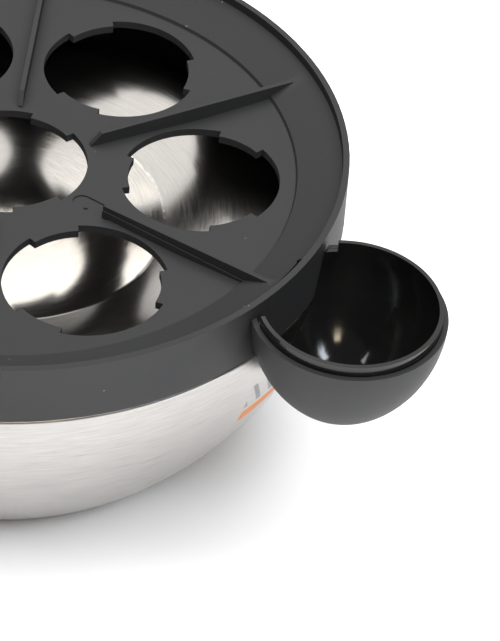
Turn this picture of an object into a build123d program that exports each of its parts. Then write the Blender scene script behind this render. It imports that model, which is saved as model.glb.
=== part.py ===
from build123d import *
from math import atan2, cos, degrees, radians, sin
import os

os.makedirs("parts", exist_ok=True)

# An electric egg cooker for seven eggs, in millimetres. +Z is up and the origin is on the table, on the
# axis of the round body. The front, with the half-egg handle, faces -Y; the mains inlet is at the back.

# ---- driving dimensions --------------------------------------------------------------------------------
TOTAL_H = 82.0            # table to the tray's lip
BODY_R = 90.4             # outside of the steel body
SHEET = 0.8               # steel sheet of body and dish
SEAM_Z = 65.4             # where the tray's skirt lands on the body's turned-in ledge
BODY_FOOT_R = 65.4        # body where it turns under, at its lower edge
BODY_FOOT_Z = 3.2
LEDGE_R = 86.4            # inner edge of the ledge and mouth of the dish

LIP_R = 90.0              # tray's outer edge at the top
SKIRT_R = 90.5            # and at the foot of its skirt, which has a little draft
LIP_W = 1.7
PLATE_T = 2.2             # moulded wall of the tray
FLOOR_Z = 72.3            # top of the tray's floor, flat out to FLOOR_FLAT_R
FLOOR_FLAT_R = 56.0
FLOOR_EDGE_Z = 73.6       # the floor rises a little to its edge
CREASE_R, CREASE_Z = 76.9, 74.5   # foot of the sloping rim band, a small step up from the floor
BAND_TOP_Z = 79.5         # where the band meets the lip's inner wall
HOLE_RING_R = 51.15       # circle of the six outer egg holes
HOLE_R = 19.1             # egg hole at its three tabs
HOLE_STEP = 2.1           # the three relieved arcs are this much larger
HOLE_RELIEF = 83.0        # angle of each relieved arc
RIB_W = 1.3
RIB_IN_R, RIB_OUT_R = 23.0, 84.0
RIB_IN_Z, RIB_OUT_Z = 75.8, 77.6  # the ribs' top edge, which dies into the band
RIB_SHIFT = {270: 2.15, 330: 2.15}   # ribs beside the handle stand off their radius by this much
RIB_SHIFT_OTHER = 0.45
FRONT_RIB_IN_R = 33.0     # the rib towards the handle starts further out
RECESS_L, RECESS_W, RECESS_D = 13.2, 5.1, 0.4   # moulder's shallow pocket inboard of that rib

SLOT_R, SLOT_SPAN = 86.7, 10.6   # catch slot in the rim band: radius and angle

CUP_OFFSET = 105.9        # axis of the half-egg handle from the body's axis
CUP_R = 24.8
CUP_SHOULDER_Z = 78.6     # top edge of the outer half shell
CUP_DEPTH = 32.0          # half shell below its shoulder
CUP_WALL = 1.4
COLLAR_TOP_Z = 81.5       # glossy liner stands up past the shoulder
COLLAR_R = 23.3
LINER_WALL = 1.1
COLLAR_OPEN = 51.0        # half angle, towards the tray, where the collar is left away

DISH_FLOOR_Z = 54.0       # shallow: the eggs' lower ends stand just clear of it, in the water
DISH_FLOOR_R = 42.5
DISH_EDGE_Z = 62.0        # top of its sloping side
BASE_Z = 2.0              # underside of the base plate; the feet carry it
BASE_R = 63.5
CHAMBER_Z = 10.0          # heat shield, on the base plate's bosses
PILLAR_RING_R = 41.0
PILLAR_ANGLES = (-90, 30, 150)
FOOT_RING_R = 50.0

SPREADER_R, SPREADER_T = 36.5, 3.0
ELEMENT_RING_R, ELEMENT_R, ELEMENT_FLAT = 28.0, 3.2, 2.6
ELEMENT_ARC = 300

POD_X, POD_Z, POD_LEAN = 85.4, 34.3, 22.0   # switch pod: where the body's side leans in by this angle
POD_W, POD_H = 20.0, 32.0
POD_PROUD, POD_DEEP = 2.5, 14.0
ROCKER_UP, ROCKER_IN = 4.5, 3.0   # pivot above the pod's middle and behind the body's surface
ROCKER_R, ROCKER_W = 9.2, 12.4
ROCKER_TILT = 8.0         # off position leans this much one way, on the other
CONTACT_UP = 4.5          # each contact blade above or below the pivot
LAMP_UP, LAMP_R = -11.0, 2.6

INLET_Z = 22.0            # mains inlet bush in the back of the body
INLET_BORE_R = 3.4
INLET_R = 6.0
CLEAR = 0.3

UNDER_DISH_Z = DISH_FLOOR_Z - SHEET
SPREADER_Z = UNDER_DISH_Z - SPREADER_T
ELEMENT_Z = SPREADER_Z - ELEMENT_FLAT
ELEMENT_END_Z = SPREADER_Z - 11.2   # the element's two ends turn down to here
SENSOR_Z = SPREADER_Z - 4.0         # underside of the thermostat's rim


# the switch pod's own plane: X to the back of the cooker, Y up the body's side, Z straight out of it
pod_plane = Plane(
    origin=(POD_X, 0, POD_Z), x_dir=(0, 1, 0), z_dir=(cos(radians(POD_LEAN)), 0, -sin(radians(POD_LEAN))),
)

# the rocker's section plane, leaning to the off side: X out of the pod, Y up its face, Z along the pivot
rocker_angle = radians(ROCKER_TILT - POD_LEAN)
rocker_plane = Plane(
    origin=pod_plane.from_local_coords(Vector(0, ROCKER_UP, -ROCKER_IN)),
    x_dir=(cos(rocker_angle), 0, sin(rocker_angle)), z_dir=(0, -1, 0),
)


def finish_piece(piece, name):
    """Label a finished sub-part and write its STEP file."""
    piece.part.label = name
    export_step(piece.part, f"parts/{name}.step")


def polar(radius, angle):
    return radius * cos(radians(angle)), radius * sin(radians(angle))


# ---- body shell: one deep-drawn stainless sheet, turned in at the top as a ledge and under at the foot --
with BuildPart() as body_shell:
    with BuildSketch(Plane.XZ):
        with BuildLine():
            corner = 1.5
            top = Line((LEDGE_R, SEAM_Z), (BODY_R - corner, SEAM_Z))
            RadiusArc(top @ 1, (BODY_R, SEAM_Z - corner), corner)
            Line((BODY_R, SEAM_Z - corner), (BODY_R, 58))
            Bezier((BODY_R, 58), (BODY_R, 38), (78.5, 18), (BODY_FOOT_R, BODY_FOOT_Z))
            Polyline((BODY_FOOT_R, BODY_FOOT_Z), (60, BODY_FOOT_Z), (60, 4), (BODY_FOOT_R - 0.4, 4))
            Bezier((BODY_FOOT_R - 0.4, 4), (77.9, 18.5), (BODY_R - SHEET, 38.2), (BODY_R - SHEET, 58))
            Line((BODY_R - SHEET, 58), (BODY_R - SHEET, SEAM_Z - corner))
            RadiusArc((BODY_R - SHEET, SEAM_Z - corner), (BODY_R - corner, SEAM_Z - SHEET), -(corner - SHEET))
            Polyline((BODY_R - corner, SEAM_Z - SHEET), (LEDGE_R, SEAM_Z - SHEET), (LEDGE_R, SEAM_Z))
        make_face()
    revolve(axis=Axis.Z)
    # window for the switch pod on the right-hand side
    with BuildSketch(pod_plane.offset(-POD_DEEP)):
        RectangleRounded(POD_W + 0.2, POD_H + 0.2, 3.1)
    extrude(amount=40, mode=Mode.SUBTRACT)
    # round hole for the inlet bush at the back
    with BuildSketch(Plane.XZ.offset(-60)):
        with Locations((0, INLET_Z)):
            Circle(INLET_R + 0.05)
    extrude(amount=-30, mode=Mode.SUBTRACT)
finish_piece(body_shell, "body_shell")

# ---- heating dish: pressed steel dish with a flat floor, hung from the ledge by its flange --------------
with BuildPart() as heating_dish:
    with BuildSketch(Plane.XZ):
        with BuildLine():
            Polyline(
                (0, DISH_FLOOR_Z), (DISH_FLOOR_R, DISH_FLOOR_Z), (LEDGE_R, DISH_EDGE_Z),
                (LEDGE_R, SEAM_Z - SHEET), (88.6, SEAM_Z - SHEET), (88.6, SEAM_Z - 2 * SHEET),
                (LEDGE_R + SHEET, SEAM_Z - 2 * SHEET), (LEDGE_R + SHEET, DISH_EDGE_Z - 0.7),
                (DISH_FLOOR_R + 0.2, UNDER_DISH_Z), (0, UNDER_DISH_Z), close=True,
            )
        dish_face = make_face()
        bend = [v for v in dish_face.vertices() if abs(v.X - DISH_FLOOR_R) < 0.5]
        fillet(bend, 5)
    revolve(axis=Axis.Z)
finish_piece(heating_dish, "heating_dish")

# ---- egg tray: moulded black plastic, floor with seven egg holes, sloping band, lip and skirt -----------
floor_r = CREASE_R - 0.4
hole_plane = Plane.XY.offset(FLOOR_Z - PLATE_T - 1)
with BuildPart() as egg_tray:
    with BuildSketch(Plane.XZ):
        with BuildLine():
            Polyline(
                (88.5, SEAM_Z), (SKIRT_R, SEAM_Z), (LIP_R, TOTAL_H), (LIP_R - LIP_W, TOTAL_H),
                (LIP_R - LIP_W, BAND_TOP_Z), (CREASE_R, CREASE_Z), (floor_r, FLOOR_EDGE_Z),
                (FLOOR_FLAT_R, FLOOR_Z), (0, FLOOR_Z), (0, FLOOR_Z - PLATE_T),
                (FLOOR_FLAT_R, FLOOR_Z - PLATE_T), (floor_r, FLOOR_EDGE_Z - PLATE_T), (84.4, 74.6),
                (84.4, 62), (86.0, 62), (86.0, 75.3), (88.5, 76.4), close=True,
            )
        make_face()
    revolve(axis=Axis.Z)
    # seven egg holes: a round hole with three relieved arcs between three tabs
    for n in range(7):
        angle = 60 * (n - 1)
        cx, cy = polar(HOLE_RING_R, angle) if n else (0, 0)
        with BuildSketch(hole_plane):
            with Locations((cx, cy)):
                Circle(HOLE_R)
            for k in range(3):
                start = angle + 120 * k - HOLE_RELIEF / 2
                with BuildLine(hole_plane):
                    sector = CenterArc((cx, cy), HOLE_R + HOLE_STEP, start, HOLE_RELIEF)
                    Polyline(sector @ 1, (cx, cy), sector @ 0)
                make_face()
        extrude(amount=PLATE_T + 4, mode=Mode.SUBTRACT)
    # shallow pocket with a gate mark, inboard of the rib that points at the handle
    with BuildSketch(Plane.XY.offset(FLOOR_Z - RECESS_D)):
        with Locations((-1.25, -29.4)):
            SlotOverall(RECESS_L, RECESS_W, rotation=90)
        with Locations((-2.4, -27.4)):
            Circle(0.6, mode=Mode.SUBTRACT)
    extrude(amount=2, mode=Mode.SUBTRACT)
    # six ribs between the outer holes, thin blades with a slanted nose that die into the sloping band
    for angle in range(30, 390, 60):
        shift = RIB_SHIFT.get(angle, RIB_SHIFT_OTHER)
        rib_plane = Plane(origin=(0, 0, 0), x_dir=(*polar(1, angle), 0), z_dir=(*polar(1, angle - 90), 0))
        in_r, nose = (FRONT_RIB_IN_R, 0.2) if angle == 270 else (RIB_IN_R, 3.0)
        with BuildSketch(rib_plane.offset(shift - RIB_W / 2)):
            with BuildLine():
                Polyline(
                    (in_r, FLOOR_Z - 1), (in_r, RIB_IN_Z - nose), (in_r + nose, RIB_IN_Z),
                    (RIB_OUT_R, RIB_OUT_Z), (RIB_OUT_R, CREASE_Z + 2), (floor_r, FLOOR_EDGE_Z - 1),
                    (FLOOR_FLAT_R, FLOOR_Z - 1), close=True,
                )
            make_face()
        extrude(amount=RIB_W)
    # low ledge along the front rib's left side, as far as the band
    with BuildSketch(Plane.XY.offset(FLOOR_Z - 1)):
        with Locations((-RIB_SHIFT[270], -(FRONT_RIB_IN_R + CREASE_R) / 2)):
            Rectangle(RIB_W + 0.6, CREASE_R - FRONT_RIB_IN_R)
    extrude(amount=3.1)
    # narrow catch slot just inside the lip, in front of the handle, with a round eye at one end
    with BuildSketch(Plane.XY.offset(72)):
        SlotArc(CenterArc((0, 0), SLOT_R, 270 - SLOT_SPAN / 2, SLOT_SPAN), height=0.9)
        with Locations(polar(SLOT_R, 270 + SLOT_SPAN / 2)):
            Circle(0.9)
    extrude(amount=9, mode=Mode.SUBTRACT)
finish_piece(egg_tray, "egg_tray")

# ---- half-egg handle on the tray: matte outer shell and a glossy liner that stands up as a collar -------
cup_plane = Plane(origin=(0, -CUP_OFFSET, 0), x_dir=(1, 0, 0), z_dir=(0, -1, 0))


def half_egg_section(outer_r, outer_drop, inner_r, inner_drop):
    """Half section of an egg-shaped wall below the shoulder: each side a flank arc and a nose arc."""
    with BuildSketch(cup_plane) as section:
        with BuildLine():
            ends = []
            for rim_r, drop in ((outer_r, outer_drop), (inner_r, inner_drop)):
                nose_r = rim_r ** 2 / drop
                nose_z = drop - nose_r
                flank_r = (rim_r ** 2 + nose_z ** 2 - nose_r ** 2) / (2 * (rim_r - nose_r))
                lean = degrees(atan2(nose_z, flank_r - rim_r))
                flank = CenterArc((rim_r - flank_r, CUP_SHOULDER_Z), flank_r, 0, -lean)
                nose = CenterArc((0, CUP_SHOULDER_Z - nose_z), nose_r, -lean, lean - 90)
                ends.append((flank @ 0, nose @ 1))
            Line(ends[0][0], ends[1][0])
            Line(ends[0][1], ends[1][1])
        make_face()
    return section.sketch


cup_axis = Axis((0, -CUP_OFFSET, 0), (0, 0, 1))
liner_drop = CUP_DEPTH - CUP_WALL - 0.1
with BuildPart() as handle_shell:
    revolve(half_egg_section(CUP_R, CUP_DEPTH, CUP_R - CUP_WALL, CUP_DEPTH - CUP_WALL), axis=cup_axis)
    # seated against the outside of the tray's skirt
    with BuildSketch(Plane.XY.offset(SEAM_Z - 30)):
        Circle(SKIRT_R)
    extrude(amount=60, mode=Mode.SUBTRACT)
finish_piece(handle_shell, "handle_shell")

with BuildPart() as handle_liner:
    liner_section = half_egg_section(COLLAR_R, liner_drop, COLLAR_R - LINER_WALL, liner_drop - LINER_WALL)
    revolve(liner_section, axis=cup_axis)
    with BuildSketch(Plane.XY.offset(CUP_SHOULDER_Z)):
        with Locations((0, -CUP_OFFSET)):
            Circle(COLLAR_R)
            Circle(COLLAR_R - LINER_WALL, mode=Mode.SUBTRACT)
    extrude(amount=COLLAR_TOP_Z - CUP_SHOULDER_Z)
    # collar left away beside the tray, where the rim stays low
    reach_x, reach_y = polar(2 * COLLAR_R, 90 - COLLAR_OPEN)
    with BuildSketch(Plane.XY.offset(CUP_SHOULDER_Z)):
        with BuildLine():
            far_y = reach_y - CUP_OFFSET
            Polyline((0, -CUP_OFFSET), (reach_x, far_y), (-reach_x, far_y), close=True)
        make_face()
    extrude(amount=5, mode=Mode.SUBTRACT)
    with BuildSketch(Plane.XY.offset(SEAM_Z - 30)):
        Circle(SKIRT_R)
    extrude(amount=60, mode=Mode.SUBTRACT)
finish_piece(handle_liner, "handle_liner")

# ---- heater under the dish ------------------------------------------------------------------------------
with BuildPart() as heat_spreader:
    with BuildSketch(Plane.XY.offset(SPREADER_Z)):
        Circle(SPREADER_R)
        with Locations((-14, 0), (14, 0)):
            Circle(1.5, mode=Mode.SUBTRACT)
    extrude(amount=SPREADER_T)
finish_piece(heat_spreader, "heat_spreader")

half_gap = (360 - ELEMENT_ARC) / 2
element_ends = [polar(ELEMENT_RING_R, 90 - half_gap), polar(ELEMENT_RING_R, 90 + half_gap)]
with BuildPart() as heating_element:
    with BuildSketch(Plane(origin=(0, 0, 0), x_dir=(*polar(1, 120), 0), z_dir=(*polar(1, 30), 0))):
        with Locations((ELEMENT_RING_R, ELEMENT_Z)):
            Circle(ELEMENT_R)
        with Locations((ELEMENT_RING_R, SPREADER_Z + 5)):
            Rectangle(20, 10, mode=Mode.SUBTRACT)
    revolve(axis=Axis.Z, revolution_arc=ELEMENT_ARC)
    with BuildSketch(Plane.XY.offset(ELEMENT_END_Z)):
        with Locations(*element_ends):
            Circle(ELEMENT_R)
    extrude(amount=ELEMENT_Z - ELEMENT_END_Z)
finish_piece(heating_element, "heating_element")

with BuildPart() as element_terminals:
    with BuildSketch(Plane.XY.offset(ELEMENT_END_Z - 8)):
        with Locations(*element_ends):
            Circle(1.2)
    extrude(amount=8)
    with BuildSketch(Plane.XY.offset(ELEMENT_END_Z - 15)):
        with Locations(*element_ends):
            Rectangle(0.8, 6.3)
    extrude(amount=8)
finish_piece(element_terminals, "element_terminals")

with BuildPart() as terminal_beads:
    with BuildSketch(Plane.XY.offset(ELEMENT_END_Z - 3)):
        with Locations(*element_ends):
            Circle(2.7)
            Circle(1.25, mode=Mode.SUBTRACT)
    extrude(amount=3)
finish_piece(terminal_beads, "terminal_beads")

with BuildPart() as thermostat:
    with BuildSketch(Plane.XY.offset(SENSOR_Z)):
        Circle(8.4)
    extrude(amount=SPREADER_Z - SENSOR_Z)
    with BuildSketch(Plane.XY.offset(SENSOR_Z - 7.2)):
        Circle(7.4)
    extrude(amount=7.2)
    with BuildSketch(Plane.XY.offset(SENSOR_Z - 14.2)):
        with Locations((0, -4.2), (0, 4.2)):
            Rectangle(6.3, 0.8)
    extrude(amount=7)
finish_piece(thermostat, "thermostat")

with BuildPart() as thermostat_bracket:
    with BuildSketch(Plane.XY.offset(SENSOR_Z - 1)):
        Rectangle(40, 18)
        Circle(7.6, mode=Mode.SUBTRACT)
        with Locations((-14, 0), (14, 0)):
            Circle(1.6, mode=Mode.SUBTRACT)
    extrude(amount=1)
    with BuildSketch(Plane.XY.offset(SENSOR_Z)):
        with Locations((-19.5, 0), (19.5, 0)):
            Rectangle(1, 18)
    extrude(amount=SPREADER_Z - SENSOR_Z)
finish_piece(thermostat_bracket, "thermostat_bracket")

with BuildPart() as bracket_screws:
    with BuildSketch(Plane.XY.offset(SENSOR_Z - 3)):
        with Locations((-14, 0), (14, 0)):
            Circle(2.8)
    extrude(amount=2)
    with BuildSketch(Plane.XY.offset(SENSOR_Z - 1)):
        with Locations((-14, 0), (14, 0)):
            Circle(1.45)
    extrude(amount=7.3)
finish_piece(bracket_screws, "bracket_screws")

with BuildPart() as thermal_fuse:
    for radius, half in ((2.0, 5.5), (0.5, 14)):
        with BuildSketch(Plane.YZ.offset(-half)):
            with Locations((15.5, SPREADER_Z - 2.3)):
                Circle(radius)
        extrude(amount=2 * half)
finish_piece(thermal_fuse, "thermal_fuse")

with BuildPart() as fuse_clip:
    with BuildSketch(Plane.YZ.offset(-3)):
        with Locations((15.5, SPREADER_Z - 2.6)):
            Rectangle(9, 5.2)
        with Locations((15.5, SPREADER_Z - 2.3)):
            Circle(2.05, mode=Mode.SUBTRACT)
        with Locations((15.5, SPREADER_Z - 1.15)):
            Rectangle(4.1, 2.3, mode=Mode.SUBTRACT)
    extrude(amount=6)
finish_piece(fuse_clip, "fuse_clip")

# ---- base: plastic plate, heat shield, pillars, studs, screws and feet ----------------------------------
pillar_places = [polar(PILLAR_RING_R, a) for a in PILLAR_ANGLES]
foot_places = [polar(FOOT_RING_R, 45 + 90 * n) for n in range(4)]
with BuildPart() as base_plate:
    with BuildSketch(Plane.XY.offset(BASE_Z)):
        Circle(BASE_R)
    extrude(amount=BODY_FOOT_Z - BASE_Z)
    with BuildSketch(Plane.XY.offset(BODY_FOOT_Z)):
        Circle(59.7)
    extrude(amount=0.8)
    with BuildSketch(Plane.XY.offset(4)):
        Circle(59.7)
        Circle(57.7, mode=Mode.SUBTRACT)
    extrude(amount=4)
    with BuildSketch(Plane.XY.offset(4)):
        with Locations(*pillar_places):
            Circle(5.4)
    extrude(amount=CHAMBER_Z - 4)
    with BuildSketch(Plane.XY.offset(BASE_Z)):
        with Locations(*pillar_places):
            Circle(3.6)
    extrude(amount=3.5, mode=Mode.SUBTRACT)
    with BuildSketch(Plane.XY.offset(BASE_Z)):
        with Locations(*pillar_places):
            Circle(1.7)
    extrude(amount=CHAMBER_Z, mode=Mode.SUBTRACT)
    with BuildSketch(Plane.XY.offset(BASE_Z)):
        with Locations(*foot_places):
            Circle(3.0)
        with PolarLocations(24, 10):
            SlotOverall(15, 2.6)
    extrude(amount=2, mode=Mode.SUBTRACT)
finish_piece(base_plate, "base_plate")

with BuildPart() as heat_shield:
    with BuildSketch(Plane.XY.offset(CHAMBER_Z)):
        Circle(52)
        with Locations(*pillar_places):
            Circle(1.7, mode=Mode.SUBTRACT)
    extrude(amount=0.5)
finish_piece(heat_shield, "heat_shield")

with BuildPart() as pillars:
    for x, y in pillar_places:
        with BuildSketch(Plane.XY.offset(CHAMBER_Z + 0.5)):
            with Locations((x, y)):
                RegularPolygon(3.0, 6, major_radius=False)
                Circle(1.5, mode=Mode.SUBTRACT)
        extrude(amount=UNDER_DISH_Z - CHAMBER_Z - 0.5)
finish_piece(pillars, "pillars")

with BuildPart() as dish_studs:
    with BuildSketch(Plane.XY.offset(UNDER_DISH_Z - 8)):
        with Locations(*pillar_places):
            Circle(1.45)
    extrude(amount=8)
finish_piece(dish_studs, "dish_studs")

with BuildPart() as base_screws:
    with BuildSketch(Plane.XY.offset(BASE_Z + 1.2)):
        with Locations(*pillar_places):
            Circle(3.0)
    extrude(amount=2.3)
    with BuildSketch(Plane.XY.offset(BASE_Z + 3.5)):
        with Locations(*pillar_places):
            Circle(1.45)
    extrude(amount=15)
    with BuildSketch(Plane.XY.offset(BASE_Z + 1.2)):
        with Locations(*pillar_places):
            Rectangle(3.6, 0.8)
            Rectangle(0.8, 3.6)
    extrude(amount=1.2, mode=Mode.SUBTRACT)
finish_piece(base_screws, "base_screws")

# moulded rubber feet, each pulled through its hole in the base plate by a barbed stem
for n, (x, y) in enumerate(foot_places, start=1):
    with BuildPart() as foot:
        with BuildSketch(Plane.XY):
            with Locations((x, y)):
                Circle(7)
        extrude(amount=BASE_Z, taper=6)
        with BuildSketch(Plane.XY.offset(BASE_Z)):
            with Locations((x, y)):
                Circle(2.9)
        extrude(amount=2.2)
        with BuildSketch(Plane.XY.offset(4.0)):
            with Locations((x, y)):
                Circle(3.8)
        extrude(amount=2.6, taper=25)
    finish_piece(foot, f"foot_{n}")

# ---- mains inlet, terminal block ------------------------------------------------------------------------
with BuildPart() as inlet_bush:
    for radius, y0, length in ((INLET_R, 69, 21), (7.5, 69, 2), (7.2, 85, 2)):
        with BuildSketch(Plane.XZ.offset(-y0)):
            with Locations((0, INLET_Z)):
                Circle(radius)
        extrude(amount=-length)
    with BuildSketch(Plane.XZ.offset(-70)):
        with Locations((0, INLET_Z)):
            Circle(INLET_BORE_R)
    extrude(amount=-30, mode=Mode.SUBTRACT)
finish_piece(inlet_bush, "inlet_bush")

block_x = (-9, 0, 9)
block_y, block_z0, block_h = 40, CHAMBER_Z + 0.5, 9.5
with BuildPart() as terminal_block:
    with BuildSketch(Plane.XY.offset(block_z0)):
        with Locations((0, block_y)):
            RectangleRounded(28, 13, 1.5)
    extrude(amount=block_h)
    with BuildSketch(Plane.XY.offset(block_z0 + block_h - 3)):
        with Locations(*[(x, block_y) for x in block_x]):
            Circle(2.2)
    extrude(amount=3, mode=Mode.SUBTRACT)
    with BuildSketch(Plane.XZ.offset(-block_y - 10)):
        with Locations(*[(x, block_z0 + 3) for x in block_x]):
            Circle(1.6)
    extrude(amount=20, mode=Mode.SUBTRACT)
finish_piece(terminal_block, "terminal_block")

with BuildPart() as terminal_screws:
    with BuildSketch(Plane.XY.offset(block_z0 + block_h - 3)):
        with Locations(*[(x, block_y) for x in block_x]):
            Circle(2.0)
    extrude(amount=2.2)
    with BuildSketch(Plane.XY.offset(block_z0 + block_h - 1.6)):
        with Locations(*[(x, block_y) for x in block_x]):
            Rectangle(4.4, 0.6)
    extrude(amount=0.8, mode=Mode.SUBTRACT)
finish_piece(terminal_screws, "terminal_screws")

# ---- switch pod on the right-hand side: housing, rocker, contacts, lamp ----------------------------------
with BuildPart() as switch_housing:
    with BuildSketch(pod_plane.offset(-POD_DEEP)):
        RectangleRounded(POD_W, POD_H, 3)
    extrude(amount=POD_DEEP + POD_PROUD)
    fillet(switch_housing.faces().sort_by(Axis(pod_plane.origin, pod_plane.z_dir))[-1].edges(), 1.2)
    # rocker well, open at the front
    with BuildSketch(pod_plane.offset(-POD_DEEP + 2)):
        with Locations((0, ROCKER_UP)):
            Rectangle(ROCKER_W + 2 * CLEAR, 2 * ROCKER_R + 2 * CLEAR)
    extrude(amount=POD_DEEP + POD_PROUD, mode=Mode.SUBTRACT)
    # lamp bore, right through
    with BuildSketch(pod_plane.offset(-POD_DEEP)):
        with Locations((0, LAMP_UP)):
            Circle(LAMP_R + 0.05)
        with Locations((0, ROCKER_UP - CONTACT_UP), (0, ROCKER_UP + CONTACT_UP)):
            Rectangle(5.2, 0.9)
    extrude(amount=2, mode=Mode.SUBTRACT)
    with BuildSketch(pod_plane.offset(-POD_DEEP + 2)):
        with Locations((0, LAMP_UP)):
            Circle(LAMP_R + 0.05)
    extrude(amount=POD_DEEP + POD_PROUD, mode=Mode.SUBTRACT)
    # trunnion bores in the well's two side walls
    with BuildSketch(rocker_plane.offset(-8)):
        Circle(1.5)
    extrude(amount=16, mode=Mode.SUBTRACT)
finish_piece(switch_housing, "switch_housing")

with BuildPart() as switch_rocker:
    # see-saw section: a disc about the pivot, its front cut to a shallow V
    with BuildSketch(rocker_plane.offset(-ROCKER_W / 2)):
        Circle(ROCKER_R)
        with BuildLine():
            Polyline((7.4, 12), (5.6, 0), (7.4, -12), (20, -12), (20, 12), close=True)
        make_face(mode=Mode.SUBTRACT)
        with Locations((-13, 0)):
            Rectangle(20, 30, mode=Mode.SUBTRACT)
    extrude(amount=ROCKER_W)
    with BuildSketch(rocker_plane.offset(-7.4)):
        Circle(1.45)
    extrude(amount=14.8)
finish_piece(switch_rocker, "switch_rocker")

with BuildPart() as switch_contacts:
    with BuildSketch(pod_plane.offset(-POD_DEEP - 5)):
        with Locations((0, ROCKER_UP - CONTACT_UP), (0, ROCKER_UP + CONTACT_UP)):
            Rectangle(4.8, 0.8)
    extrude(amount=9)
finish_piece(switch_contacts, "switch_contacts")

with BuildPart() as lamp_lens:
    with BuildSketch(pod_plane.offset(POD_PROUD - 5)):
        with Locations((0, LAMP_UP)):
            Circle(LAMP_R)
    extrude(amount=5.5)
    fillet(lamp_lens.faces().sort_by(Axis(pod_plane.origin, pod_plane.z_dir))[-1].edges(), 0.8)
finish_piece(lamp_lens, "lamp_lens")

with BuildPart() as neon_lamp:
    with BuildSketch(pod_plane.offset(POD_PROUD - 14)):
        with Locations((0, LAMP_UP)):
            Circle(1.9)
    extrude(amount=8.5)
    with BuildSketch(pod_plane.offset(-POD_DEEP - 5)):
        with Locations((-0.9, LAMP_UP), (0.9, LAMP_UP)):
            Circle(0.3)
    extrude(amount=POD_DEEP + 5 + POD_PROUD - 14)
finish_piece(neon_lamp, "neon_lamp")
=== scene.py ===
from math import cos, pi, radians, sin

import bpy
from mathutils import Matrix, Vector


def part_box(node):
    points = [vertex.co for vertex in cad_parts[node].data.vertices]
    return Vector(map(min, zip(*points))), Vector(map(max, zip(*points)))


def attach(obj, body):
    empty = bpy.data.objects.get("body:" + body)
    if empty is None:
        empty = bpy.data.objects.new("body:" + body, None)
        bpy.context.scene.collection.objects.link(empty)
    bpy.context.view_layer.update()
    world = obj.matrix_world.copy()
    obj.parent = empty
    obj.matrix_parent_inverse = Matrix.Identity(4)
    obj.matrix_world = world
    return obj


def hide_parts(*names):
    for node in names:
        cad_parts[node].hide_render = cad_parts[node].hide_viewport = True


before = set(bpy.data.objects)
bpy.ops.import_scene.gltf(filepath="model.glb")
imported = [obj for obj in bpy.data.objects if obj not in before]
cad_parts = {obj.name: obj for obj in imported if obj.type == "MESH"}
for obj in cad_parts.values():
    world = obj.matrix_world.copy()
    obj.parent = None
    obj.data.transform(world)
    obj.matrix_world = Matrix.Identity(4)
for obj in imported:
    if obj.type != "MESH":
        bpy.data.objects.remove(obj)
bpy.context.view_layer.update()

# ---- camera ------------------------------------------------------------------------------------------
# Looks down on the tray from the front left, with a long lens, a little turned about its own axis.
CAMERA_PLACE = (-0.4014, -0.3026, 0.4836)
HEADING, PITCH, ROLL = -60.8, 42.69, 6.13
SENSOR_MM, FOCAL_MM = 36, 136.9

bpy.ops.object.camera_add(location=CAMERA_PLACE)
camera = bpy.context.object
camera.name = "camera"
camera.rotation_mode = "QUATERNION"
heading, pitch, roll = radians(HEADING), radians(PITCH), radians(ROLL)
camera.rotation_quaternion = (
    Matrix.Rotation(heading, 3, "Z") @ Matrix.Rotation(pi / 2 - pitch, 3, "X") @ Matrix.Rotation(roll, 3, "Z")
).to_quaternion()
camera.data.sensor_width = SENSOR_MM
camera.data.lens = FOCAL_MM
bpy.context.scene.camera = camera


# ---- floor, room and lamps -----------------------------------------------------------------------------
# A pale table top that runs out of sight, in a studio that is bright behind the cooker and dark above the
# camera. A wide box overhead gives the even light and four small ones add the highlights. The two small
# classes here build every material: a Wire is one number or colour on its way through the nodes, and a
# Finish is one material.
class Wire:
    """A node's output. Sums and products of wires and plain numbers add the Math nodes they need."""

    def __init__(self, finish, socket):
        self.finish = finish
        self.socket = socket

    def math(self, operation, first, second):
        return self.finish.node("ShaderNodeMath", {"operation": operation}, {0: first, 1: second})

    def __add__(self, other):
        return self.math("ADD", self, other)

    def __sub__(self, other):
        return self.math("SUBTRACT", self, other)

    def __rsub__(self, other):
        return self.math("SUBTRACT", other, self)

    def __mul__(self, other):
        return self.math("MULTIPLY", self, other)

    def __gt__(self, other):
        return self.math("GREATER_THAN", self, other)

    def __lt__(self, other):
        return self.math("LESS_THAN", self, other)

    def ramp(self, low, high, start=0.0, end=1.0):
        """Goes from start to end, smoothly, while this wire goes from low to high."""
        return self.finish.node(
            "ShaderNodeMapRange", {"interpolation_type": "SMOOTHSTEP"},
            {"Value": self, "From Min": low, "From Max": high, "To Min": start, "To Max": end},
        )

    __radd__ = __add__
    __rmul__ = __mul__


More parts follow.
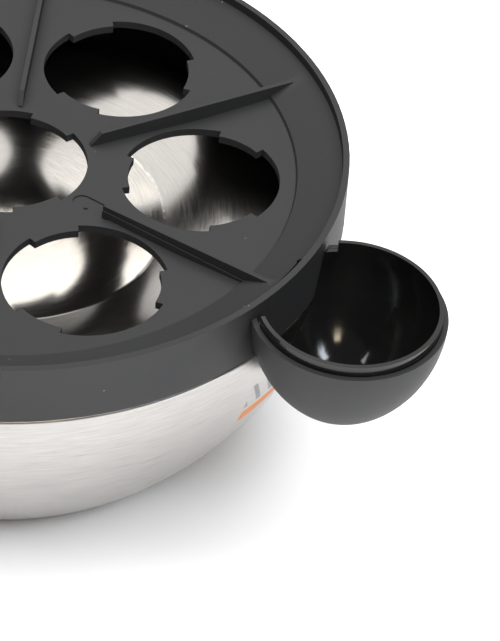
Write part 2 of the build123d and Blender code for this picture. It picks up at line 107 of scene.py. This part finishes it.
class Finish:
    """One material: its node tree, with a single method that adds nodes and a few that use it."""

    def __init__(self, name, **uniform):
        self.material = bpy.data.materials.new(name)
        self.material.use_nodes = True
        self.tree = self.material.node_tree
        self.shader = self.tree.nodes["Principled BSDF"]
        for socket, value in uniform.items():
            self.shader.inputs[socket.replace("_", " ")].default_value = value

    def node(self, kind, settings, sockets, out=0):
        made = self.tree.nodes.new(kind)
        for setting, value in settings.items():
            setattr(made, setting, value)
        for socket, value in sockets.items():
            if isinstance(value, Wire):
                self.tree.links.new(value.socket, made.inputs[socket])
            else:
                made.inputs[socket].default_value = value
        return Wire(self, made.outputs[out])

    def feed(self, **sockets):
        """Links wires to the shader's own sockets."""
        for socket, wire in sockets.items():
            self.tree.links.new(wire.socket, self.shader.inputs[socket.replace("_", " ")])

    def place(self):
        return self.node("ShaderNodeTexCoord", {}, {}, out="Object")

    def split(self, vector):
        parts = self.node("ShaderNodeSeparateXYZ", {}, {0: vector}).socket.node.outputs
        return [Wire(self, part) for part in parts]

    def noise(self, per_metre, detail=2.0, where=None):
        """Noise with this many features per metre along X, Y and Z of the object, or of another vector."""
        vector = self.node(
            "ShaderNodeVectorMath", {"operation": "MULTIPLY"}, {0: where or self.place(), 1: per_metre},
        )
        return self.node("ShaderNodeTexNoise", {}, {"Vector": vector, "Scale": 1.0, "Detail": detail})

    def blend(self, factor, low, high):
        """From one colour to another as factor goes from 0 to 1."""
        return self.node("ShaderNodeMix", {"data_type": "RGBA"}, {0: factor, 6: low, 7: high}, out=2)

    def bump(self, height, depth):
        """Bump this many metres deep where height goes from 0 to 1."""
        relief = {"Height": height, "Distance": depth, "Strength": 1.0}
        self.feed(Normal=self.node("ShaderNodeBump", {}, relief))


def grey(level, warmth=0.0):
    """A grey of this brightness, drawn from blue towards red by its warmth."""
    return (level * (1 + warmth), level, level * (1 - warmth), 1)


def cover(nodes, finish):
    """Gives CAD nodes a finish in place of their plain one."""
    for name in nodes:
        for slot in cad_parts[name].material_slots:
            slot.material = finish.material


def aim(turn, rise):
    """The direction at this turn from +X about Z and this rise above the table, in degrees."""
    turn, rise = radians(turn), radians(rise)
    return Vector((cos(turn) * cos(rise), sin(turn) * cos(rise), sin(rise)))


TABLE_WIDTH = 12
TABLE_COLOUR = (0.93, 0.935, 0.95, 1)

bpy.ops.object.select_all(action="DESELECT")
bpy.ops.mesh.primitive_plane_add(size=TABLE_WIDTH, location=(0, 0, 0))
table = bpy.context.object
table.name = "table_top"
table.data.materials.append(Finish("table_top", Base_Color=TABLE_COLOUR, Roughness=0.9).material)

# The bright part of the room is a round cap about one direction. Its edge fades between two cosines of the
# angle from its middle.
CAP_TURN, CAP_RISE = 40, 60
CAP_FADE = (0.78, 0.90)
DARK_ROOM, BRIGHT_ROOM = 0.12, 1.15
ROOM_COLOUR = (1.0, 0.985, 0.96, 1)

room = bpy.data.worlds.new("studio")
bpy.context.scene.world = room
room.use_nodes = True
nodes, links = room.node_tree.nodes, room.node_tree.links
direction = nodes.new("ShaderNodeTexCoord")
towards = nodes.new("ShaderNodeVectorMath")
towards.operation = "DOT_PRODUCT"
towards.inputs[1].default_value = aim(CAP_TURN, CAP_RISE)
glow = nodes.new("ShaderNodeMapRange")
glow.interpolation_type = "SMOOTHSTEP"
for socket, value in zip(("From Min", "From Max", "To Min", "To Max"), (*CAP_FADE, DARK_ROOM, BRIGHT_ROOM)):
    glow.inputs[socket].default_value = value
links.new(direction.outputs["Generated"], towards.inputs[0])
links.new(towards.outputs["Value"], glow.inputs["Value"])
links.new(glow.outputs["Result"], nodes["Background"].inputs["Strength"])
nodes["Background"].inputs["Color"].default_value = ROOM_COLOUR
bpy.context.scene.view_settings.view_transform = "Standard"

# Each lamp: its name, its turn and rise as seen from the handle, its distance, width and height in metres,
# its power in watts and its colour. They all face the handle, at the height of the half egg's middle.
HALF_EGG_MIDDLE_Z = 0.06
LAMPS = (
    ("top_box", 90, 88, 1.5, 2.40, 2.40, 62, (1, 0.99, 0.98)),
    ("back_box", 38, 46, 1.7, 0.30, 0.30, 0.6, (1, 0.93, 0.80)),
    ("tall_box", -98, 47, 1.0, 0.20, 0.34, 3.6, (0.86, 0.92, 1)),
    ("warm_box", -138, 37, 1.0, 0.17, 0.14, 1.1, (1, 0.84, 0.62)),
    ("small_box", 145, 43, 1.0, 0.14, 0.20, 0.5, (1, 1, 1)),
)

handle_middle = Vector((0, (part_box("handle_liner")[0].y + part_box("handle_liner")[1].y) / 2, HALF_EGG_MIDDLE_Z))
for name, turn, rise, distance, wide, tall, power, colour in LAMPS:
    place = handle_middle + aim(turn, rise) * distance
    bpy.ops.object.light_add(type="AREA", location=place)
    lamp = bpy.context.object
    lamp.name = name
    lamp.data.shape = "RECTANGLE"
    lamp.data.size, lamp.data.size_y = wide, tall
    lamp.data.energy = power
    lamp.data.color = colour
    # The overhead box lights the scene but isn't mirrored in the dish.
    lamp.visible_glossy = name != "top_box"
    lamp.rotation_euler = (handle_middle - place).to_track_quat("-Z", "Y").to_euler()


# ---- base plate and rubber feet ------------------------------------------------------------------------
# A moulded plate closes the body from below, with cooling slots and sunk screws. It stands on four black
# rubber feet that are pulled through it. Plain black plastic with an even spark-eroded grain.
CLOUDS_PER_METRE = 30
CLOUD_SHADE = 0.10
CLOUD_DULLNESS = 0.05
PLASTIC_IOR = 1.49


def moulded_plastic(name, colour, roughness, grain, depth):
    """Textured plastic: 'grain' bumps per metre, this deep, under faint clouds of darker, shinier flow."""
    finish = Finish(name, IOR=PLASTIC_IOR)
    clouds = finish.noise((CLOUDS_PER_METRE,) * 3, 3)
    texture = finish.noise((grain,) * 3, 2)
    darker, lighter = ([c * (1 + shade) for c in colour[:3]] + [1] for shade in (-CLOUD_SHADE, CLOUD_SHADE))
    finish.feed(
        Base_Color=finish.blend(clouds, darker, lighter),
        Roughness=clouds.ramp(0.2, 0.8, roughness - CLOUD_DULLNESS, roughness + CLOUD_DULLNESS),
    )
    finish.bump(texture, depth)
    return finish


# A CAD mesh is loose triangles. Its points are merged, triangles that lie flat together are joined, the
# edges sharper than SHARP_ANGLE are rounded, and the rest is shaded smooth up to SMOOTH_ANGLE.
MERGE_DISTANCE = 0.000002
FLAT_ANGLE = radians(0.3)
SHARP_ANGLE = radians(30)
SMOOTH_ANGLE = radians(40)


def softened(name, node, body, finish, width):
    """A copy of a CAD part, merged, with its sharp edges rounded off as a mould or a press leaves them."""
    bpy.ops.object.select_all(action="DESELECT")
    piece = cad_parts[node].copy()
    piece.data = piece.data.copy()
    piece.name = piece.data.name = name
    piece.parent = None
    for key in list(piece.keys()):
        del piece[key]
    bpy.context.scene.collection.objects.link(piece)
    bpy.context.view_layer.objects.active = piece
    piece.select_set(True)
    bpy.ops.mesh.customdata_custom_splitnormals_clear()
    bpy.ops.object.mode_set(mode="EDIT")
    bpy.ops.mesh.select_all(action="SELECT")
    bpy.ops.mesh.remove_doubles(threshold=MERGE_DISTANCE)
    bpy.ops.mesh.dissolve_limited(angle_limit=FLAT_ANGLE)
    bpy.ops.mesh.select_all(action="DESELECT")
    bpy.ops.mesh.select_mode(type="EDGE")
    bpy.ops.mesh.edges_select_sharp(sharpness=SHARP_ANGLE)
    bpy.ops.mesh.bevel(offset=width, segments=2, clamp_overlap=True)
    bpy.ops.object.mode_set(mode="OBJECT")
    bpy.ops.object.shade_smooth_by_angle(angle=SMOOTH_ANGLE)
    piece.modifiers.new("even_shading", "WEIGHTED_NORMAL").keep_sharp = True
    bpy.ops.object.modifier_apply(modifier="even_shading")
    piece.data.materials.clear()
    piece.data.materials.append(finish.material)
    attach(piece, body)
    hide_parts(node)


# Each plastic or rubber: its colour, its roughness, its grain per metre and how deep the grain is.
base_plastic = moulded_plastic("base_plastic", grey(0.035), 0.50, 2200, 0.00003)
softened("base_moulding", "base_plate", "cooker", base_plastic, 0.0003)
rubber = moulded_plastic("foot_rubber", grey(0.022), 0.80, 3500, 0.00004)
for n in range(1, 5):
    softened(f"rubber_foot_{n}", f"foot_{n}", "cooker", rubber, 0.0004)
bush_rubber = moulded_plastic("bush_rubber", grey(0.028), 0.62, 3000, 0.00003)
softened("cord_inlet_bush", "inlet_bush", "cooker", bush_rubber, 0.0004)


# ---- heater, pillars and wiring parts under the dish -----------------------------------------------------
# A cast aluminium spreader with a tubular element round it, its thermostat and fuse, on three hexagonal
# pillars over a thin heat shield. Each metal part is drawn, cast or plated, and shows it: its marks are
# long along an axis with few of them per metre.
SHINIER, DULLER = 0.07, 0.09


def plain_metal(name, low, high, roughness, per_metre, depth, warmth=0.0):
    """Bare or plated metal, from low to high in brightness, with this many marks per metre on each axis."""
    finish = Finish(name, Metallic=1.0)
    marks = finish.noise(per_metre, 4)
    finish.feed(
        Base_Color=finish.blend(marks, grey(low, warmth), grey(high, warmth)),
        Roughness=marks.ramp(0.25, 0.75, roughness - SHINIER, roughness + DULLER),
    )
    finish.bump(marks, depth)
    return finish


zinc = plain_metal("zinc_plate", 0.50, 0.68, 0.30, (260, 260, 260), 0.00002, 0.03)
cover(["base_screws", "pillars", "dish_studs", "element_terminals", "bracket_screws"], zinc)
cast = plain_metal("cast_aluminium", 0.48, 0.62, 0.52, (700, 700, 700), 0.00006)
softened("heat_spreader_disc", "heat_spreader", "cooker", cast, 0.0004)
cover(["heat_shield"], plain_metal("aluminium_sheet", 0.62, 0.74, 0.30, (1800, 22, 22), 0.00001))
cover(["thermal_fuse"], plain_metal("fuse_can", 0.66, 0.76, 0.28, (22, 900, 900), 0.00001))
cover(["heating_element"], plain_metal("element_sheath", 0.09, 0.24, 0.50, (160, 160, 160), 0.00003, 0.14))
spring = plain_metal("spring_strip", 0.40, 0.52, 0.30, (22, 1400, 1400), 0.00001, 0.02)
cover(["thermostat_bracket", "fuse_clip"], spring)
brass = plain_metal("plated_brass", 0.46, 0.60, 0.30, (400, 400, 400), 0.00002, 0.34)
cover(["terminal_screws", "switch_contacts"], brass)
RESIN_BROWN = (0.055, 0.036, 0.025, 1)
CERAMIC_WHITE = (0.74, 0.71, 0.65, 1)
resin = moulded_plastic("phenolic_resin", RESIN_BROWN, 0.42, 1500, 0.00002)
softened("thermostat_body", "thermostat", "cooker", resin, 0.00025)
ceramic = moulded_plastic("fired_ceramic", CERAMIC_WHITE, 0.62, 1300, 0.00005)
softened("ceramic_block", "terminal_block", "cooker", ceramic, 0.0003)
cover(["terminal_beads"], ceramic)


# ---- heating dish --------------------------------------------------------------------------------------
# One pressed sheet of stainless steel, polished on a lathe: fine rings run round its flat floor and its
# sloping side, and it is bright enough to mirror the tray above it.
# The rings are counted along the radius, and RING_RISE carries them on up a steep side. TURN_SCALE makes
# the streaks long round the axis.
RING = 3000
RING_RISE = 0.97
TURN_SCALE = 0.1
FINE_SHARE, BROAD_SHARE = 0.8, 0.2


def ringed_steel(name, low, high, warmth, roughness, spread, depth, turn_rate):
    """Steel with fine rings about Z, RING of them per metre, in streaks that run part of the way round."""
    finish = Finish(name, Metallic=1.0, Anisotropic=0.5)
    x, y, z = finish.split(finish.place())
    radius = finish.node("ShaderNodeMath", {"operation": "SQRT"}, {0: x * x + y * y})
    turn = finish.node("ShaderNodeMath", {"operation": "ARCTAN2"}, {0: y, 1: x})
    path = finish.node("ShaderNodeCombineXYZ", {}, {0: radius + z * RING_RISE, 1: turn * TURN_SCALE, 2: z})
    fine = finish.noise((RING, turn_rate * 10, 20), 3, path)
    broad = finish.noise((RING * 0.12, turn_rate * 4, 12), 2, path)
    streak = fine * FINE_SHARE + broad * BROAD_SHARE
    finish.feed(
        Base_Color=finish.blend(streak.ramp(0.35, 0.65), grey(low, warmth), grey(high, warmth)),
        Roughness=streak.ramp(0.3, 0.7, roughness - spread, roughness + spread),
    )
    finish.bump(fine, depth)
    return finish


dish_steel = ringed_steel("dish_steel", 0.56, 0.63, 0.03, 0.17, 0.03, 0.0000004, 5.0)
cover(["heating_dish"], dish_steel)


# ---- body shell ----------------------------------------------------------------------------------------
# The deep-drawn outer casing, brushed round and round after drawing, with a turned-in ledge for the tray
# at the top. The brushing is deeper than the dish's, in shorter bright and dull streaks.
body_steel = ringed_steel("body_steel", 0.395, 0.470, 0.035, 0.32, 0.05, 0.0000009, 9.0)
cover(["body_shell"], body_steel)

# A plain mark is screen-printed on the front of the body, under the handle: one orange bar and, above it,
# a row of slanted grey strokes. The ink is dull, and shows the brushing a little.
BAR_HALF, BAR_LOW, BAR_HIGH = 0.0150, 0.0392, 0.0434
STROKE_LOW, STROKE_HIGH, STROKE_STEP = 0.0450, 0.0530, 0.0050
STROKE_LEAN = 0.45
STROKE_FILL = 0.34
STROKE_COVER = 0.8
FRONT_Y = -0.07
INK_DULLNESS = 0.22
ORANGE_INK = (0.62, 0.20, 0.035, 1)
GREY_INK = (0.20, 0.215, 0.23, 1)

x, y, z = body_steel.split(body_steel.place())
front = (y < FRONT_Y) * (x > -BAR_HALF) * (x < BAR_HALF)
bar = front * (z > BAR_LOW) * (z < BAR_HIGH)
slant = (x + z * STROKE_LEAN + 0.1) * (1 / STROKE_STEP)
stroke = body_steel.node("ShaderNodeMath", {"operation": "FRACT"}, {0: slant}) < STROKE_FILL
strokes = front * stroke * (z > STROKE_LOW) * (z < STROKE_HIGH)
steel_colour = Wire(body_steel, body_steel.shader.inputs["Base Color"].links[0].from_socket)
steel_dull = Wire(body_steel, body_steel.shader.inputs["Roughness"].links[0].from_socket)
inked = body_steel.blend(bar, steel_colour, ORANGE_INK)
body_steel.feed(
    Base_Color=body_steel.blend(strokes * STROKE_COVER, inked, GREY_INK),
    Metallic=1 - (bar + strokes * STROKE_COVER),
    Roughness=steel_dull + (bar + strokes) * INK_DULLNESS,
)


# ---- switch pod ----------------------------------------------------------------------------------------
# A satin black housing in a window of the body, with a see-saw rocker and a clear red lamp lens over a
# neon tube. Housing and rocker come from the same moulder, and the rocker is the smoother of the two.
pod_plastic = moulded_plastic("pod_plastic", grey(0.020), 0.30, 1800, 0.00001)
softened("switch_pod", "switch_housing", "cooker", pod_plastic, 0.0002)
rocker_plastic = moulded_plastic("rocker_plastic", grey(0.028), 0.24, 2600, 0.000006)
softened("rocker_key", "switch_rocker", "rocker", rocker_plastic, 0.0003)
LENS_REDS = ((0.62, 0.03, 0.012, 1), (0.85, 0.06, 0.02, 1))
TUBE_TINTS = ((0.80, 0.60, 0.48, 1), (0.95, 0.86, 0.78, 1))
GLASS_IOR = 1.46

lens = Finish("lamp_lens", Transmission_Weight=0.75, IOR=PLASTIC_IOR, Roughness=0.06)
ripple = lens.noise((700, 700, 700), 2)
lens.feed(Base_Color=lens.blend(ripple, *LENS_REDS))
lens.bump(ripple, 0.00006)
cover(["lamp_lens"], lens)
tube = Finish("neon_glass", Transmission_Weight=0.85, IOR=GLASS_IOR, Roughness=0.04)
smoke = tube.noise((300, 300, 300), 2)
tube.feed(Base_Color=tube.blend(smoke, *TUBE_TINTS))
cover(["neon_lamp"], tube)


# ---- egg tray and handle -------------------------------------------------------------------------------
# The lift-off tray: matt charcoal plastic, spark-eroded all over, with a few specks of dust. The outer
# shell of the half-egg handle has the same finish; its liner is polished black.
CHARCOAL = (0.0215, 0.0220, 0.0232, 1)
DUST_GREY = (0.30, 0.30, 0.30, 1)
SPECK_CELLS_PER_METRE = 130.0
SPECK_SIZE = 0.028
SPECKS_KEPT_ABOVE = 0.55
SPECK_COVER = 0.5

tray_plastic = moulded_plastic("tray_plastic", CHARCOAL, 0.60, 2600, 0.00002)
specks = tray_plastic.node(
    "ShaderNodeTexVoronoi", {},
    {"Vector": tray_plastic.place(), "Scale": SPECK_CELLS_PER_METRE}, out="Distance",
)
chosen = tray_plastic.noise((47, 47, 47), 0)
bare = Wire(tray_plastic, tray_plastic.shader.inputs["Base Color"].links[0].from_socket)
dusty = (specks < SPECK_SIZE) * (chosen > SPECKS_KEPT_ABOVE)
tray_plastic.feed(Base_Color=tray_plastic.blend(dusty * SPECK_COVER, bare, DUST_GREY))

softened("tray_moulding", "egg_tray", "tray", tray_plastic, 0.0003)
softened("handle_outer_shell", "handle_shell", "tray", tray_plastic, 0.00035)
gloss = Finish("liner_gloss", IOR=PLASTIC_IOR)
wiped = gloss.noise((60, 60, 140), 4)
gloss.feed(
    Base_Color=gloss.blend(wiped, grey(0.004), grey(0.007)),
    Roughness=wiped.ramp(0.3, 0.8, 0.10, 0.24),
)
softened("handle_glossy_liner", "handle_liner", "tray", gloss, 0.00035)
